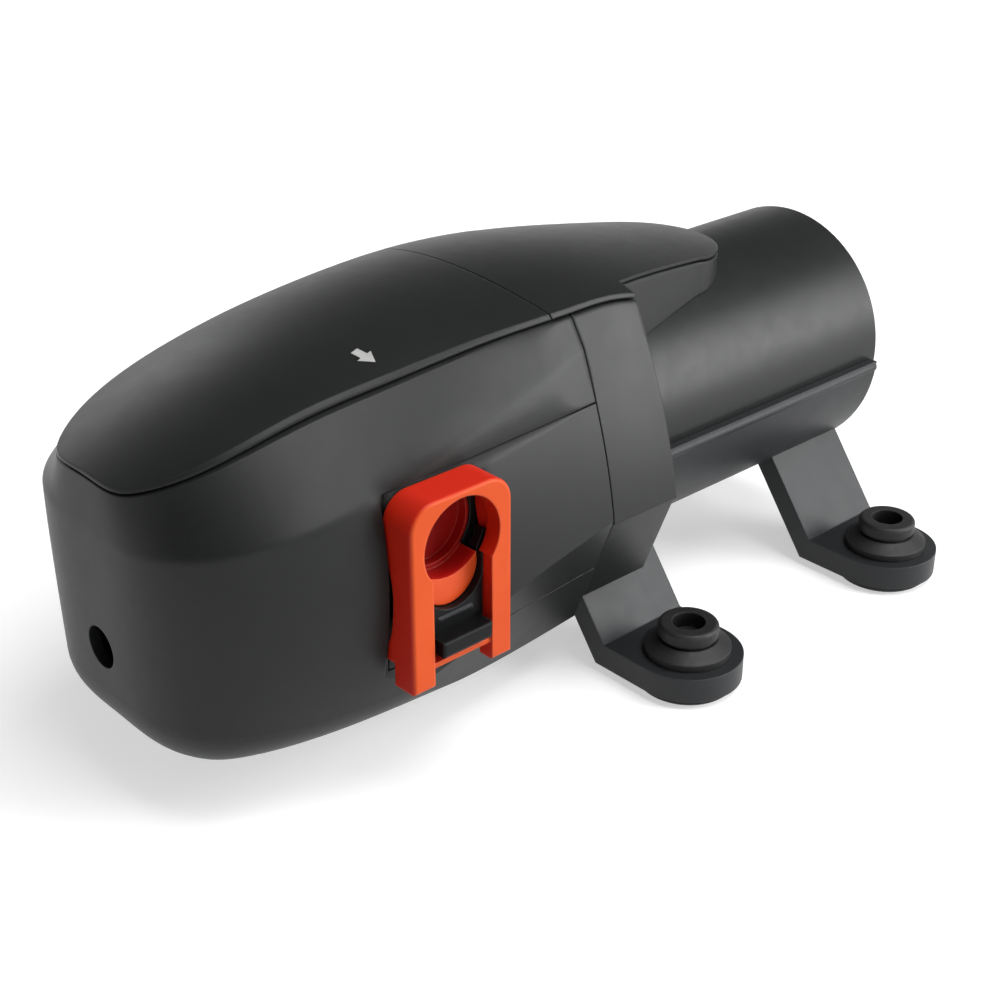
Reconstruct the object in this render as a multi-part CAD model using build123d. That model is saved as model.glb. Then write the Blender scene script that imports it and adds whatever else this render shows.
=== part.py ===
from build123d import *

import os
from math import cos, radians, sin, sqrt

os.makedirs("parts", exist_ok=True)

# The frame: X across (right side positive), Y along with the motor to the rear, Z up.
# The origin is the centre of the four foot holes, on the surface that the pump stands on.

# Clearances between pieces
running_gap = 0.35
seat_gap = 0.1
joint_gap = 0.3
shaft_gap = 0.05
overrun = 2.0

# Motor
motor_radius = 31.0
motor_axis_height = 50.8
motor_rear_y = 55.7
motor_length = 106.0
can_wall = 1.6
can_rim_chamfer = 1.2
front_plate_thickness = 4.0
end_cap_thickness = 5.0
end_cap_recess = 1.6
shaft_radius = 2.5
magnet_thickness = 5.0
magnet_overhang = 2.0
magnet_span = 130.0
armature_gap = 1.0
armature_front_space = 10.7
armature_rear_space = 7.0
armature_slots = 10
armature_slot_width = 2.4
armature_slot_depth = 7.0
commutator_radius = 8.0
commutator_length = 12.0
commutator_setback = 15.7
winding_overhang = 5.0
winding_radius = 17.0
brush_width = 5.0
brush_height = 6.0
brush_length = 9.0
brush_card_thickness = 3.0
brush_sleeve_length = 6.0
bearing_radius = 6.5
bearing_width = 5.0
vent_count = 8
vent_radius = 1.6
vent_pitch_radius = 19.6

# Housing
seam_setback = 5.0
nose_space = 31.6
collar_length = 20.0
housing_wall = 2.4
bottom_nose_z = 12.6
bottom_seam_z = 15.6
housing_bottom_radius = 12.5
belt_z = 48.0
belt_half_width = 43.1
bottom_half_width = 40.2
bottom_nose_inset = 0.4
crease_nose_z = 63.4
crease_seam_z = 82.3
crease_half_width = 40.6
shoulder_nose_z = 84.0
shoulder_seam_z = 106.0
shoulder_half_width = 21.4
shoulder_nose_inset = 1.2

# Half widths at the collar's rear, as shares of those at the seam
crease_collar_share = 0.906
shoulder_collar_share = 0.93

# Half widths of the housing's outlines, along its length from the seam to the nose
outline_y_shares = (0.0, 0.28, 0.475, 0.67, 0.77, 0.862, 0.94, 0.978)
bottom_width_shares = (1.0, 0.960, 0.906, 0.846, 0.801, 0.736, 0.632, 0.493)
belt_width_shares = (1.0, 1.005, 1.0, 0.966, 0.905, 0.803, 0.635, 0.480)
crease_width_shares = (0.813, 0.911, 0.975, 0.985, 0.941, 0.837, 0.670, 0.510)
shoulder_width_shares = (0.84, 0.86, 0.84, 0.80, 0.78, 0.72, 0.62, 0.52)

# Lid
lid_thickness = 0.8
lid_groove = 0.6
lid_groove_depth = 1.2
lid_depth = 2.8
crown_radius = 85.0
lid_top_z = 95.2
lid_seam_bow = 9.0

# Height of the lid as shares of its top height, and where, as shares of the housing's length from the seam
lid_place_shares = (1.072, 0.862, 0.668, 0.474, 0.184, -0.106, -0.397, -0.729)
lid_height_shares = (0.757, 0.862, 0.928, 0.965, 0.995, 0.993, 0.950, 0.875)

# Hood on the motor
hood_front_half_width = 24.0
hood_rear_half_width = 17.5
hood_straight_length = 33.8
hood_wall = 2.2

# Undercut of the rear housing
undercut_top_z = 44.0
undercut_low_z = 22.0
undercut_low_half_width = 34.6
undercut_forward = 24.0
undercut_top_half_width = 43.2
bulkhead_low_z = 31.0

# Side cut-outs and ports
cutout_low_z = 31.0
cutout_high_z = 71.5
seam_gap = 0.35
port_z = 51.6
port_bore_radius = 7.9
port_tube_radius = 11.0
port_mouth_x = 35.4
port_depth = 18.0

# Port-lock clip
clip_front_x = 49.0
clip_width = 26.2
clip_low_z = 29.3
clip_high_z = 71.2
clip_corner_radius = 6.0
clip_plate = 4.0
clip_wall = 2.4
clip_depth = 6.2
clip_roof_depth = 8.6
clip_grip_low_z = 34.6
clip_grip_high_z = 38.0
clip_grip_blend = 8.0
clip_waist_z = 52.0
clip_shoulder_z = 64.0
clip_edge_round = 0.8
clip_hole_radius = 9.87
clip_hole_z = 59.9
clip_slot_half_width = 7.7
clip_web_z = 33.4
clip_web_thickness = 1.1
clip_web_setback = 0.6
clip_travel = 8.6
clip_pocket_gap = 0.5

# Latch
latch_face_x = 44.2
latch_plate = 2.2
latch_low_z = 38.2
latch_half_width = 10.2
ledge_front_x = 50.6
ledge_half_width = 6.5
ledge_low_z = 36.2
ledge_high_z = 39.8
ledge_round = 0.6
latch_horn_z = 57.5
latch_ridge_z = 42.9
latch_ridge_height = 0.8
latch_ridge_half_width = 4.6
latch_ridge_depth = 0.5
latch_stem_half_width = 5.0
latch_stem_low_z = 38.6
latch_stem_high_z = 42.4
latch_stem_length = 5.0

# Transport plug
plug_neck_radius = 7.4
plug_face_x = 44.6
plug_cup_z = 60.2
plug_disc_radius = 9.5
plug_disc_x = 39.8
plug_disc_thickness = 3.6
plug_dish_depth = 2.4
plug_dish_wall = 0.7
plug_window_wall = 2.0
plug_stem_end_x = 20.5
plug_ring_x = 28.0
ring_section_radius = 1.1

# Pump head and drive
head_radius = 29.5
head_rear_margin = 11.8
head_front_margin = 23.2
valve_plate_thickness = 6.0
diaphragm_thickness = 2.4
drive_wall = 2.6
piston_count = 3
piston_turn = 90.0
piston_radius = 6.5
piston_pitch_radius = 13.0
wobble_radius = 20.5
wobble_thickness = 3.2
wobble_hub_radius = 14.5
wobble_tilt = 3.0
race_outer_radius = 12.0
race_thickness = 2.2
race_width = 6.0
ball_count = 8
cam_radius = 4.6
cam_base_radius = 9.0
cam_base_length = 4.0
cam_reach = 5.0
bearing_setback = 18.7
bearing_reach = 14.6
wobble_plate_gap = 5.0
boss_radius = 3.8
boss_hole_radius = 8.0
cavity_rear_wall = 4.0
head_screw_count = 4
head_screw_turn = 45.0
head_screw_radius = 1.9
head_screw_head_radius = 3.4
head_screw_pitch_radius = 25.4
head_screw_length = 58.0
head_screw_head_height = 2.6
inlet_chamber_radii = (13.0, 21.0)
outlet_chamber_radius = 8.0
chamber_depth = 6.5
passage_radius = 3.5
pump_chamber_radius = 8.6
pump_chamber_depth = 3.0
valve_hole_radius = 2.0
valve_disc_radius = 5.0
valve_disc_thickness = 1.2

# Pressure switch
switch_z = 36.0
switch_radius = 11.0
switch_length = 18.0
switch_wall = 2.2
switch_hole_radius = 4.7
screw_head_radius = 3.9
screw_head_length = 5.0
screw_radius = 2.4
screw_slot_width = 1.1
screw_slot_depth = 1.6
plunger_radius = 4.0
plunger_travel = 1.0
spring_radius = 4.2
spring_wall = 0.9
spring_length = 5.0
screw_shank_length = 6.0
microswitch_width = 20.0
microswitch_height = 10.0
microswitch_depth = 9.0

# Cradle, legs and feet
cradle_wall = 2.2
cradle_drop = 1.6
cradle_bead_radius = 1.2
cradle_bead_drop = 1.5
cradle_front_reach = 1.2
cradle_rear_setback = 3.2
foot_spacing_x = 103.4
foot_spacing_y = 75.6
pad_radius = 13.14
pad_low_z = 2.2
pad_high_z = 8.2
leg_fold_x = 37.5
leg_rise = 4.0
leg_run = 3.0
leg_thickness = 5.6

# Grommets
grommet_bore_radius = 2.75
grommet_mouth_radius = 3.9
grommet_mouth_depth = 4.0
grommet_top_z = 15.8
grommet_ring_radius = 7.1
grommet_ring_height = 3.0
grommet_ring_round = 1.0
grommet_groove_radius = 6.2
grommet_groove_height = 0.9
grommet_flange_radius = 10.2
grommet_flange_height = 1.7
grommet_neck_radius = 6.6
grommet_foot_radius = 11.6
grommet_foot_round = 0.6
pad_hole_radius = 6.9

# Worked out from the sizes above
motor_front_y = motor_rear_y - motor_length
commutator_y = motor_rear_y - commutator_setback - commutator_length
armature_rear_y = commutator_y - armature_rear_space - winding_overhang
armature_front_y = motor_front_y + bearing_width + can_wall + armature_front_space + winding_overhang
bearing_centre_y = motor_front_y - bearing_setback
diaphragm_rear_y = bearing_centre_y - bearing_reach
valve_plate_rear_y = diaphragm_rear_y - diaphragm_thickness
head_rear_y = valve_plate_rear_y - valve_plate_thickness
port_y = head_rear_y - head_rear_margin
head_front_y = port_y - head_front_margin
nose_y = head_front_y - nose_space
seam_y = motor_front_y - seam_setback
housing_length = seam_y - nose_y
collar_rear_y = seam_y + collar_length
hood_straight_end_y = collar_rear_y + hood_straight_length
cradle_front_y = motor_front_y - cradle_front_reach
cradle_rear_y = motor_rear_y - cradle_rear_setback
cradle_inner_radius = motor_radius + seat_gap
cradle_outer_radius = cradle_inner_radius + cradle_wall
clip_low_y = port_y - clip_width / 2
clip_high_y = port_y + clip_width / 2
rim_drop = lid_thickness + lid_groove
can_inner_radius = motor_radius - can_wall
magnet_inner_radius = can_inner_radius - seat_gap - magnet_thickness
armature_radius = magnet_inner_radius - armature_gap
inner_race_radius = cam_radius + race_thickness
outer_race_bore = race_outer_radius - race_thickness
clip_plate_x = clip_front_x - clip_plate
clip_pocket_x = clip_front_x - clip_roof_depth - clip_pocket_gap
everywhere = -nose_y * 2


def y_cylinder(radius, y_from, y_to, x=0.0, z=motor_axis_height):
    """A cylinder along Y between two places."""
    plane = Plane(origin=(x, y_from, z), x_dir=(1, 0, 0), z_dir=(0, 1, 0))
    return extrude(plane * Circle(radius), y_to - y_from)


def x_cylinder(radius, x_from, x_to, y=port_y, z=port_z):
    """A cylinder along X between two places."""
    plane = Plane(origin=(x_from, y, z), x_dir=(0, 1, 0), z_dir=(1, 0, 0))
    return extrude(plane * Circle(radius), x_to - x_from)


def block(x_from, x_to, y_from, y_to, z_from, z_to):
    """A box between two corners."""
    size = (x_to - x_from, y_to - y_from, z_to - z_from)
    centre = ((x_from + x_to) / 2, (y_from + y_to) / 2, (z_from + z_to) / 2)
    return Pos(*centre) * Box(*size)


def left_of(shape):
    """The same shape on the pump's other side."""
    return mirror(shape, about=Plane.YZ)


def write(name, shape):
    """Writes one piece, or several like pieces together."""
    solids = shape.solids()
    export_step(solids[0] if len(solids) == 1 else Compound(children=solids), f"parts/{name}.step")


def level(z_nose, z_seam, share):
    """Height of a sloping outline at a share of the way from the seam to the nose."""
    return z_seam + (z_nose - z_seam) * share


def outline(half_width, width_shares, z_nose, z_seam, nose_inset, inset, collar_share=1.0):
    """A plan outline of the housing on a plane that slopes from seam to nose."""
    length = housing_length - nose_inset - inset
    side = []
    for y_share, width_share in zip(outline_y_shares, width_shares):
        height = level(z_nose, z_seam, y_share)
        side.append((half_width * width_share - inset, seam_y - length * y_share, height))
    nose = (0, seam_y - length, z_nose)
    rear_z = z_seam + (z_seam - z_nose) * collar_length / length
    rear = (half_width * width_shares[0] * collar_share - inset, collar_rear_y, rear_z)
    slope = z_nose - z_seam
    right = Spline(rear, *side, nose, tangents=[(0, -length, slope), (-1, 0, 0)])
    left = mirror(right, about=Plane.YZ)
    back = Line((-rear[0], rear[1], rear[2]), rear)
    return Face(Wire([right, left.edge(), back]))


def housing_block(inset):
    """The housing's outer form, drawn in by an inset, and open upward past the lid."""
    nose_z = bottom_nose_z + inset
    seam_z = bottom_seam_z + inset
    bottom = outline(bottom_half_width, bottom_width_shares, nose_z, seam_z, bottom_nose_inset, inset)
    belt = outline(belt_half_width, belt_width_shares, belt_z, belt_z, 0, inset)
    crease = outline(
        crease_half_width, crease_width_shares, crease_nose_z, crease_seam_z, 0, inset, crease_collar_share
    )
    shoulder = outline(
        shoulder_half_width, shoulder_width_shares, shoulder_nose_z, shoulder_seam_z,
        shoulder_nose_inset, inset,
        shoulder_collar_share,
    )
    lower = loft([bottom, belt, crease])
    upper = loft([crease, shoulder], ruled=True)
    rim = lower.faces().sort_by(Axis.Z)[0].edges()
    rounded = [edge for edge in rim if edge.center().Y < collar_rear_y - overrun]
    lower = fillet(rounded, housing_bottom_radius - inset)
    return lower + upper


def under_lid(drop):
    """Everything below the lid's crowned top, lowered by a drop."""
    reach = belt_half_width + overrun
    sections = []
    for place, share in zip(lid_place_shares, lid_height_shares):
        y = seam_y - housing_length * place
        top = lid_top_z * share - drop
        edge = top - crown_radius + sqrt(crown_radius ** 2 - reach ** 2)
        arc = ThreePointArc((-reach, y, edge), (0, y, top), (reach, y, edge))
        frame = Polyline((reach, y, edge), (reach, y, 0), (-reach, y, 0), (-reach, y, edge))
        sections.append(Face(Wire([arc, *frame.edges()])))
    return loft(sections)


def along_y(face, y_from, y_to):
    """A face drawn in X and Z, carried along Y."""
    return extrude(Plane(origin=(0, y_to, 0), x_dir=(1, 0, 0), z_dir=(0, -1, 0)) * face, y_to - y_from)


def along_x(face, x_from, x_to):
    """A face drawn in Y and Z, carried along X."""
    return extrude(Plane(origin=(x_from, 0, 0), x_dir=(0, 1, 0), z_dir=(1, 0, 0)) * face, x_to - x_from)


def polygon(*points):
    """A flat face through points."""
    return make_face(Polyline(*points, close=True))


def behind_lid_seam(gap):
    """The space to the rear of the bowed seam between the two lids."""
    reach = belt_half_width + overrun
    y = seam_y + gap
    seam = ThreePointArc((-reach, y), (0, y - lid_seam_bow), (reach, y))
    frame = Polyline((reach, y), (reach, everywhere), (-reach, everywhere), (-reach, y))
    return extrude(make_face([seam, *frame.edges()]), everywhere)


def hood_outline(inset):
    """The hood's outline from the rear housing to its round end on the motor, seen from above."""
    start = collar_rear_y - overrun
    end_half = hood_rear_half_width - inset
    front_half = hood_front_half_width - inset
    side = Polyline((-end_half, hood_straight_end_y), (-front_half, start), (front_half, start),
                    (end_half, hood_straight_end_y))
    tip = (0, hood_straight_end_y + end_half)
    end = ThreePointArc((end_half, hood_straight_end_y), tip, (-end_half, hood_straight_end_y))
    return extrude(make_face([*side.edges(), end]), everywhere)


def undercut(inset):
    """What is taken off the rear housing's lower corners, and everything below them."""
    run = undercut_top_half_width - undercut_low_half_width
    rise = undercut_top_z - undercut_low_z
    slant = sqrt(run ** 2 + rise ** 2)
    step_x = inset * rise / slant
    step_z = inset * run / slant
    top = (undercut_top_half_width - step_x, undercut_top_z + step_z)
    low = (undercut_low_half_width - step_x, undercut_low_z + step_z)
    far = belt_half_width + overrun + run
    right = polygon(top, low, (low[0], 0), (far, 0), (far, top[1]))
    cut = along_y(right, seam_y - overrun, collar_rear_y + overrun)
    floor = undercut_low_z if inset == 0 else 0
    below = block(-far, far, seam_y - overrun, collar_rear_y + overrun, -overrun, floor)
    return cut + left_of(cut) + below


def front_undercut(inset):
    """What is taken off the front's lower sides, in line with the rear housing's undercut at the seam."""
    share = (cutout_low_z - undercut_low_z) / (undercut_top_z - undercut_low_z)
    low_x = undercut_low_half_width + (undercut_top_half_width - undercut_low_half_width) * share
    top = Vector(undercut_top_half_width, seam_y, undercut_top_z)
    low = Vector(low_x, seam_y, cutout_low_z)
    front = Vector(bottom_half_width, seam_y - undercut_forward, cutout_low_z)
    normal = (front - top).cross(low - top).normalized()
    half_space = Box(everywhere, everywhere, everywhere, align=(Align.CENTER, Align.CENTER, Align.MIN))
    right = Plane(origin=top - normal * inset, z_dir=normal) * half_space
    return right + left_of(right)


def plug_profile(gap):
    """The plug's outline seen from its side: the disc, and the neck below it."""
    disc = Pos(port_y, plug_cup_z) * Circle(plug_disc_radius + gap)
    neck = Pos(port_y, port_z) * Circle(plug_neck_radius + gap)
    return disc + neck


def cutout(gap):
    """A side cut-out, open to the seam, drawn in by a gap."""
    y_from = clip_low_y + clip_pocket_gap + gap
    return block(0, everywhere, y_from, seam_y + overrun, cutout_low_z + gap, cutout_high_z - gap)


def clip_pocket():
    """The flat that the clip runs on, over its whole travel."""
    low = clip_low_z - clip_travel - clip_pocket_gap
    y_from = clip_low_y - clip_pocket_gap
    y_to = clip_high_y + clip_pocket_gap
    return block(clip_pocket_x, everywhere, y_from, y_to, low, clip_high_z + clip_pocket_gap)


def housing():
    """Front cover, side panels, rear housing and both lids."""
    outer = housing_block(0)
    inner = housing_block(housing_wall)
    below_rim = under_lid(rim_drop)
    reach = belt_half_width + overrun
    front = block(-reach, reach, nose_y - overrun, seam_y - seam_gap / 2, 0, everywhere)
    cavity = (inner & front) - front_undercut(housing_wall)
    shell = ((outer & front) - front_undercut(0) - cavity) & below_rim
    pocket = clip_pocket()
    opening = cutout(0)
    cover = shell - opening - left_of(opening) - pocket - left_of(pocket)
    cover -= y_cylinder(switch_hole_radius, nose_y - overrun, nose_y + housing_wall + overrun, 0, switch_z)
    write("front_cover", cover)

    stem_gap = running_gap
    guide = block(
        0, clip_front_x, port_y - latch_stem_half_width - stem_gap, port_y + latch_stem_half_width + stem_gap,
        latch_stem_low_z - stem_gap, latch_stem_high_z + stem_gap,
    )
    window = along_x(plug_profile(running_gap), port_mouth_x - overrun, clip_front_x)
    collar = along_x(plug_profile(running_gap + plug_window_wall), port_mouth_x + seat_gap, clip_pocket_x)
    panel = (shell & cutout(seam_gap)) + (collar & cavity)
    panel = panel - pocket - window - guide
    write("side_panel_right", panel)
    write("side_panel_left", left_of(panel))

    rear = block(-reach, reach, seam_y + seam_gap / 2, collar_rear_y, 0, everywhere)
    band = ((outer - undercut(0)) - (inner - undercut(housing_wall))) & rear & below_rim
    bulkhead = (outer - undercut(0)) & below_rim
    bulkhead &= block(-reach, reach, collar_rear_y - housing_wall, collar_rear_y, bulkhead_low_z, everywhere)
    walls = (hood_outline(0) - hood_outline(hood_wall)) & below_rim
    walls &= block(-reach, reach, collar_rear_y - housing_wall, everywhere, motor_axis_height, everywhere)
    body = band + bulkhead + walls
    body -= y_cylinder(motor_radius + 2 * seat_gap, seam_y - overrun, motor_rear_y)
    seat = y_cylinder(cradle_outer_radius + cradle_bead_radius + joint_gap, seam_y - overrun, motor_rear_y)
    above = motor_axis_height - cradle_drop + joint_gap
    body -= seat & block(-reach, reach, seam_y - overrun, motor_rear_y, 0, above)
    write("rear_housing", body)

    plate = under_lid(0) - under_lid(lid_thickness)
    step = under_lid(lid_thickness) - below_rim
    layer = below_rim - under_lid(lid_depth)
    hood = hood_outline(0)
    hood_step = hood_outline(lid_groove_depth)
    forward = block(-reach, reach, nose_y - overrun, collar_rear_y, 0, everywhere)
    under = block(-reach, reach, nose_y, collar_rear_y - housing_wall - seat_gap, 0, everywhere)
    lid = (plate & (outer & forward)) + (step & (housing_block(lid_groove_depth) & forward))
    lid += layer & (housing_block(housing_wall + seat_gap) & under)
    tail = (plate & hood) + (step & hood_step)
    write("front_lid", lid - behind_lid_seam(-seam_gap / 2))
    write("rear_lid", (lid + tail) & behind_lid_seam(seam_gap / 2))


def motor():
    """The motor: can, magnets, both end pieces, brushes and the turning armature."""
    can = y_cylinder(motor_radius, motor_front_y, motor_rear_y)
    can -= y_cylinder(can_inner_radius, motor_front_y - overrun, motor_rear_y + overrun)
    rim = can.edges().filter_by(GeomType.CIRCLE).sort_by(Axis.Y)[-2:].sort_by(lambda edge: edge.radius)[-1]
    write("motor_can", chamfer(rim, can_rim_chamfer))

    front = y_cylinder(can_inner_radius - seat_gap, motor_front_y, motor_front_y + front_plate_thickness)
    front += y_cylinder(bearing_radius + can_wall, motor_front_y, motor_front_y + bearing_width + can_wall)
    front -= y_cylinder(bearing_radius, motor_front_y + can_wall, motor_front_y + bearing_width + overrun)
    front -= y_cylinder(shaft_radius + running_gap, motor_front_y - overrun, motor_front_y + overrun)
    write("motor_front_plate", front)

    cap_y = motor_rear_y - end_cap_recess
    cap = y_cylinder(can_inner_radius - seat_gap, cap_y - end_cap_thickness, cap_y)
    cap += y_cylinder(bearing_radius + can_wall, cap_y - end_cap_thickness - bearing_width / 2, cap_y)
    cap -= y_cylinder(bearing_radius, cap_y - end_cap_thickness - bearing_width, cap_y - can_wall)
    vent = y_cylinder(vent_radius, cap_y - end_cap_thickness - overrun, cap_y + overrun, vent_pitch_radius)
    for turn in range(vent_count):
        cap -= vent.rotate(Axis((0, 0, motor_axis_height), (0, 1, 0)), turn * 360 / vent_count)
    write("motor_end_cap", cap)

    bearing = y_cylinder(bearing_radius - seat_gap, motor_front_y + can_wall + seat_gap,
                         motor_front_y + can_wall + bearing_width)
    rear_y = cap_y - can_wall - bearing_width
    bearing += y_cylinder(bearing_radius - seat_gap, rear_y, rear_y + bearing_width - seat_gap)
    bearing -= y_cylinder(shaft_radius + shaft_gap, motor_front_y, motor_rear_y)
    write("shaft_bearings", bearing)

    low_y = armature_front_y - magnet_overhang
    high_y = armature_rear_y + magnet_overhang
    ring = y_cylinder(can_inner_radius - seat_gap, low_y, high_y)
    ring -= y_cylinder(magnet_inner_radius, low_y - overrun, high_y + overrun)
    half_opening = radians((180 - magnet_span) / 2)
    open_x = can_inner_radius * sin(half_opening)
    ring -= block(-open_x, open_x, low_y - overrun, high_y + overrun, 0, everywhere)
    write("motor_magnets", ring)

    arm = y_cylinder(armature_radius, armature_front_y, armature_rear_y)
    slot = block(-armature_slot_width / 2, armature_slot_width / 2, armature_front_y - overrun,
                 armature_rear_y + overrun,
                 motor_axis_height + armature_radius - armature_slot_depth, everywhere)
    for turn in range(armature_slots):
        arm -= slot.rotate(Axis((0, 0, motor_axis_height), (0, 1, 0)), turn * 360 / armature_slots)
    arm -= y_cylinder(shaft_radius, armature_front_y - overrun, armature_rear_y + overrun)
    write("armature", arm)

    winding = y_cylinder(winding_radius, armature_rear_y, armature_rear_y + winding_overhang)
    winding += y_cylinder(winding_radius, armature_front_y - winding_overhang, armature_front_y)
    winding -= y_cylinder(shaft_radius, motor_front_y, commutator_y)
    write("armature_windings", winding)

    segments = y_cylinder(commutator_radius, commutator_y, commutator_y + commutator_length)
    segments -= y_cylinder(shaft_radius, commutator_y - overrun, commutator_y + commutator_length + overrun)
    write("commutator", segments)

    write("motor_shaft", y_cylinder(shaft_radius, bearing_centre_y, cap_y - can_wall - seat_gap))

    brush_y = commutator_y + commutator_length / 2 - brush_width / 2
    brush_from = commutator_radius + shaft_gap
    half_height = brush_height / 2
    brush = block(brush_from, brush_from + brush_length, brush_y, brush_y + brush_width,
                  motor_axis_height - half_height, motor_axis_height + half_height)
    write("brushes", Compound(children=[brush.solid(), left_of(brush).solid()]))

    card_y = brush_y + brush_width
    card_end = card_y + brush_card_thickness
    card = y_cylinder(can_inner_radius - seat_gap, card_y + seat_gap, card_end + seat_gap)
    card -= y_cylinder(commutator_radius + joint_gap, card_y - overrun, card_end + overrun)
    sleeve_from = brush_from + brush_length - brush_sleeve_length
    sleeve = block(sleeve_from, brush_from + brush_length + can_wall, brush_y - can_wall, card_y + seat_gap,
                   motor_axis_height - half_height - can_wall, motor_axis_height + half_height + can_wall)
    sleeve -= block(0, brush_from + brush_length + seat_gap, brush_y - seat_gap, card_y + overrun,
                    motor_axis_height - half_height - seat_gap, motor_axis_height + half_height + seat_gap)
    write("brush_card", card + sleeve + left_of(sleeve))


def tilted(shape):
    """A shape drawn about the bearing's centre with its axis along Y, set at the cam's tilt."""
    return Pos(0, bearing_centre_y, motor_axis_height) * Rot(X=wobble_tilt) * shape


def local_cylinder(radius, y_from, y_to):
    """A cylinder along Y about the origin."""
    return y_cylinder(radius, y_from, y_to, 0, 0)


def drive():
    """What turns the motor's turning into the pistons' strokes."""
    cavity_rear_y = motor_front_y - cavity_rear_wall
    case = y_cylinder(head_radius, diaphragm_rear_y, motor_front_y)
    cavity = y_cylinder(head_radius - drive_wall, diaphragm_rear_y - overrun, cavity_rear_y)
    holes = []
    for turn in range(head_screw_count):
        angle = radians(360 / head_screw_count * turn + head_screw_turn)
        x = head_screw_pitch_radius * cos(angle)
        z = motor_axis_height + head_screw_pitch_radius * sin(angle)
        cavity -= y_cylinder(boss_radius, diaphragm_rear_y - overrun, cavity_rear_y, x, z)
        holes.append((x, z))
    case -= cavity
    case -= y_cylinder(boss_hole_radius, cavity_rear_y - overrun, motor_front_y + overrun)
    shank_y = head_front_y + head_screw_length
    for x, z in holes:
        case -= y_cylinder(head_screw_radius, diaphragm_rear_y - overrun, shank_y + seat_gap, x, z)
    write("drive_housing", case)

    half = race_width / 2
    cam_y = bearing_centre_y + cam_reach
    cam = y_cylinder(cam_base_radius, cam_y, cam_y + cam_base_length)
    cam += tilted(local_cylinder(cam_radius, -half - seat_gap, cam_reach + joint_gap))
    cam -= y_cylinder(shaft_radius, bearing_centre_y, motor_front_y)
    write("eccentric_cam", cam)

    inner = local_cylinder(inner_race_radius, -half, half)
    inner -= local_cylinder(cam_radius, -race_width, race_width)
    write("bearing_inner_race", tilted(inner))
    outer = local_cylinder(race_outer_radius, -half, half)
    outer -= local_cylinder(outer_race_bore, -race_width, race_width)
    write("bearing_outer_race", tilted(outer))
    ball_radius = (outer_race_bore - inner_race_radius) / 2 - joint_gap
    ball_pitch = (outer_race_bore + inner_race_radius) / 2
    balls = []
    for turn in range(ball_count):
        angle = radians(360 / ball_count * turn)
        ball = Pos(ball_pitch * cos(angle), 0, ball_pitch * sin(angle)) * Sphere(ball_radius)
        balls.append(tilted(ball).solid())
    write("bearing_balls", Compound(children=balls))

    plate_y = -wobble_plate_gap
    hub = local_cylinder(wobble_hub_radius, plate_y - seat_gap, half)
    hub -= local_cylinder(race_outer_radius, plate_y, race_width)
    web = local_cylinder(wobble_radius, plate_y - wobble_thickness, plate_y)
    ledge = local_cylinder(wobble_hub_radius, plate_y - seat_gap, -half)
    ledge -= local_cylinder(outer_race_bore, plate_y, 0)
    wobble = tilted(web + hub + ledge)
    write("wobble_plate", wobble)

    pistons = []
    for turn in range(piston_count):
        angle = radians(360 / piston_count * turn + piston_turn)
        x = piston_pitch_radius * cos(angle)
        z = motor_axis_height + piston_pitch_radius * sin(angle)
        piston = y_cylinder(piston_radius, diaphragm_rear_y + seat_gap, bearing_centre_y + plate_y, x, z)
        pistons.append((piston - wobble).solids().sort_by(Axis.Y)[0])
    write("pistons", Compound(children=pistons))

    sheet = y_cylinder(head_radius, valve_plate_rear_y, diaphragm_rear_y)
    plate = y_cylinder(head_radius, head_rear_y, valve_plate_rear_y)
    head = y_cylinder(head_radius, head_front_y, head_rear_y)
    edge = head.edges().filter_by(GeomType.CIRCLE).sort_by(Axis.Y)[0]
    head = fillet(edge, drive_wall)
    head += x_cylinder(port_tube_radius, -port_mouth_x, port_mouth_x)
    head += y_cylinder(switch_radius, head_front_y - drive_wall, head_front_y + drive_wall, 0, switch_z)
    bore = x_cylinder(port_bore_radius, port_mouth_x - port_depth, port_mouth_x + overrun)
    chamber_y = head_rear_y - chamber_depth
    inlet = y_cylinder(inlet_chamber_radii[1], chamber_y, head_rear_y + overrun)
    inlet -= y_cylinder(inlet_chamber_radii[0], chamber_y - overrun, head_rear_y + overrun)
    inlet -= block(-passage_radius, everywhere, chamber_y - overrun, head_rear_y + overrun, 0, everywhere)
    outlet = y_cylinder(outlet_chamber_radius, port_y - 2 * passage_radius, head_rear_y + overrun)
    outlet += x_cylinder(passage_radius, 0, port_mouth_x - port_depth + overrun)
    head = head - bore - left_of(bore) - inlet - outlet
    head -= y_cylinder(plunger_radius + running_gap, head_front_y - everywhere,
                       head_front_y + drive_wall, 0, switch_z)

    valves = [y_cylinder(valve_disc_radius, head_rear_y - valve_disc_thickness, head_rear_y).solid()]
    for turn in range(piston_count):
        angle = radians(360 / piston_count * turn + piston_turn)
        x = piston_pitch_radius * cos(angle)
        z = motor_axis_height + piston_pitch_radius * sin(angle)
        chamber = y_cylinder(pump_chamber_radius - overrun / 2, valve_plate_rear_y - pump_chamber_depth,
                             valve_plate_rear_y + overrun, x, z)
        plate -= chamber
        valve_y = valve_plate_rear_y - pump_chamber_depth
        valves.append(y_cylinder(valve_disc_radius, valve_y, valve_y + valve_disc_thickness, x, z).solid())
        for side in (-1, 1):
            hole_x = x + side * valve_hole_radius * 3 / 2
            plate -= y_cylinder(valve_hole_radius / 2, head_rear_y - overrun, valve_plate_rear_y, hole_x, z)

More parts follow.
